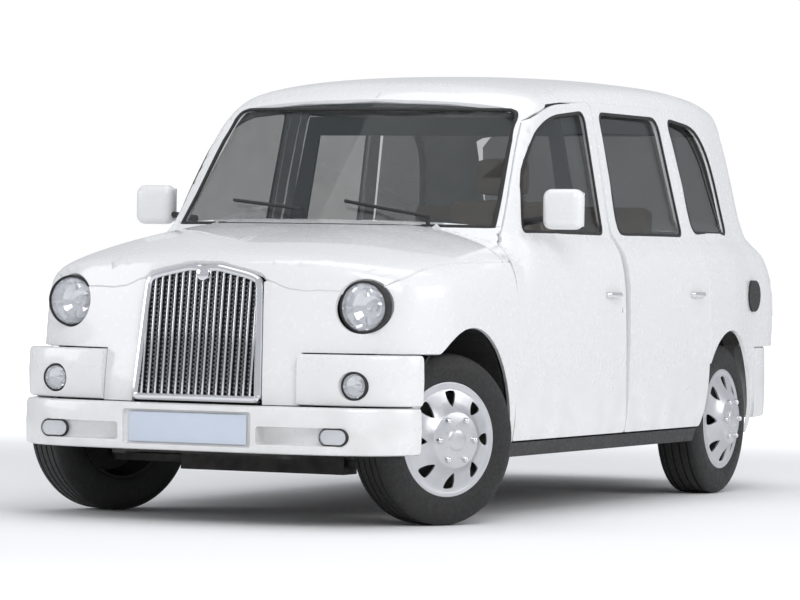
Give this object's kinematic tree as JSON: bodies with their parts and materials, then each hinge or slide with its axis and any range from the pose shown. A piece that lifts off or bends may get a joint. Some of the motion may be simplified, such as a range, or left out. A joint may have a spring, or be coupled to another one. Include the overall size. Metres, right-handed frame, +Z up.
{
  "type": "four-door purpose-built taxi cab",
  "caption": "Tall four-door taxi cab with hinged doors, bonnet and boot lid, steered front wheels and turning road wheels.",
  "frame": {"origin": "on the ground under the middle of the body's box", "axes": "+Z up, nose towards -Y, the vehicle's left side towards +X"},
  "size_m": [2.03, 4.58, 1.833],
  "materials": {
    "white_paint": "gloss",
    "chrome": "polished",
    "wheel_silver": "satin",
    "tyre": "matte",
    "glass": "clear",
    "dark_steel": "matte",
    "black_plastic": "matte",
    "clear_lamp": "clear",
    "red_lamp": "gloss",
    "seat_cloth": "matte",
    "plate": "satin"
  },
  "bodies": {
    "chassis": {"frame_rails": "dark_steel", "floor_pan": "dark_steel", "bulkhead": "dark_steel", "scuttle": "white_paint", "roof": "white_paint", "body_side_left": "white_paint", "body_side_right": "white_paint", "rear_panel": "white_paint", "front_wing_left": "white_paint", "front_wing_right": "white_paint", "nose_panel": "white_paint", "grille": "chrome", "front_bumper": "white_paint", "bumper_corners": "white_paint", "headlamps": "clear_lamp", "front_indicators": "clear_lamp", "fog_lamps": "clear_lamp", "number_plates": "plate", "windscreen": "glass", "rear_window": "glass", "quarter_windows": "glass", "wipers": "black_plastic", "rear_bumper": "white_paint", "tail_lamps": "red_lamp", "fuel_cap": "black_plastic", "dashboard": "black_plastic", "steering_wheel": "black_plastic", "driver_seat": "seat_cloth", "partition": "black_plastic", "rear_seat": "seat_cloth", "engine_block": "dark_steel", "front_wheelhouses": "black_plastic", "rear_wheelhouses": "black_plastic", "front_axle": "dark_steel", "rear_axle": "dark_steel"},
    "bonnet_body": {"bonnet": "white_paint"},
    "boot_lid_body": {"boot_lid": "white_paint"},
    "door_front_left_body": {"door_front_left": "white_paint", "glass_front_left": "glass", "mirror_left": "white_paint"},
    "door_front_right_body": {"door_front_right": "white_paint", "glass_front_right": "glass", "mirror_right": "white_paint"},
    "door_rear_left_body": {"door_rear_left": "white_paint", "glass_rear_left": "glass"},
    "door_rear_right_body": {"door_rear_right": "white_paint", "glass_rear_right": "glass"},
    "knuckle_left_body": {"knuckle_left": "dark_steel"},
    "knuckle_right_body": {"knuckle_right": "dark_steel"},
    "wheel_front_left": {"tyre_front_left": "tyre", "rim_front_left": "wheel_silver"},
    "wheel_front_right": {"tyre_front_right": "tyre", "rim_front_right": "wheel_silver"},
    "wheel_rear_left": {"tyre_rear_left": "tyre", "rim_rear_left": "wheel_silver"},
    "wheel_rear_right": {"tyre_rear_right": "tyre", "rim_rear_right": "wheel_silver"}
  },
  "joints": [
    {"name": "steer_left", "type": "hinge", "parent": "chassis", "child": "knuckle_left_body", "pos_m": [0.669, -1.575, 0.335], "axis": [0, 0, 1], "range_deg": [-18, 72]},
    {"name": "spin_front_left", "type": "hinge", "parent": "knuckle_left_body", "child": "wheel_front_left", "pos_m": [0.72692, -1.60451, 0.335], "axis": [0.891, -0.454, 0], "continuous": true},
    {"name": "spin_rear_left", "type": "hinge", "parent": "chassis", "child": "wheel_rear_left", "pos_m": [0.734, 1.311, 0.335], "axis": [1, 0, 0], "continuous": true},
    {"name": "open_door_front_left", "type": "hinge", "parent": "chassis", "child": "door_front_left_body", "pos_m": [0.893, -1.141, 0.7], "axis": [0, 0, -1], "range_deg": [0, 70]},
    {"name": "open_door_rear_left", "type": "hinge", "parent": "chassis", "child": "door_rear_left_body", "pos_m": [0.893, 0.047, 0.7], "axis": [0, 0, -1], "range_deg": [0, 88]},
    {"name": "steer_right", "type": "hinge", "parent": "chassis", "child": "knuckle_right_body", "pos_m": [-0.669, -1.575, 0.335], "axis": [0, 0, 1], "range_deg": [-18, 72]},
    {"name": "spin_front_right", "type": "hinge", "parent": "knuckle_right_body", "child": "wheel_front_right", "pos_m": [-0.72692, -1.54549, 0.335], "axis": [0.891, -0.454, 0], "continuous": true},
    {"name": "spin_rear_right", "type": "hinge", "parent": "chassis", "child": "wheel_rear_right", "pos_m": [-0.734, 1.311, 0.335], "axis": [1, 0, 0], "continuous": true},
    {"name": "open_door_front_right", "type": "hinge", "parent": "chassis", "child": "door_front_right_body", "pos_m": [-0.893, -1.141, 0.7], "axis": [0, 0, 1], "range_deg": [0, 70]},
    {"name": "open_door_rear_right", "type": "hinge", "parent": "chassis", "child": "door_rear_right_body", "pos_m": [-0.893, 0.047, 0.7], "axis": [0, 0, 1], "range_deg": [0, 88]},
    {"name": "open_bonnet", "type": "hinge", "parent": "chassis", "child": "bonnet_body", "pos_m": [0, -1.212, 1.187], "axis": [-1, 0, 0], "range_deg": [0, 60]},
    {"name": "open_boot_lid", "type": "hinge", "parent": "chassis", "child": "boot_lid_body", "pos_m": [0, 2.075, 1.11], "axis": [1, 0, 0], "range_deg": [0, 80]}
  ],
  "couplings": [
    {"joint": "steer_right", "follows": "steer_left", "ratio": 1}
  ]
}
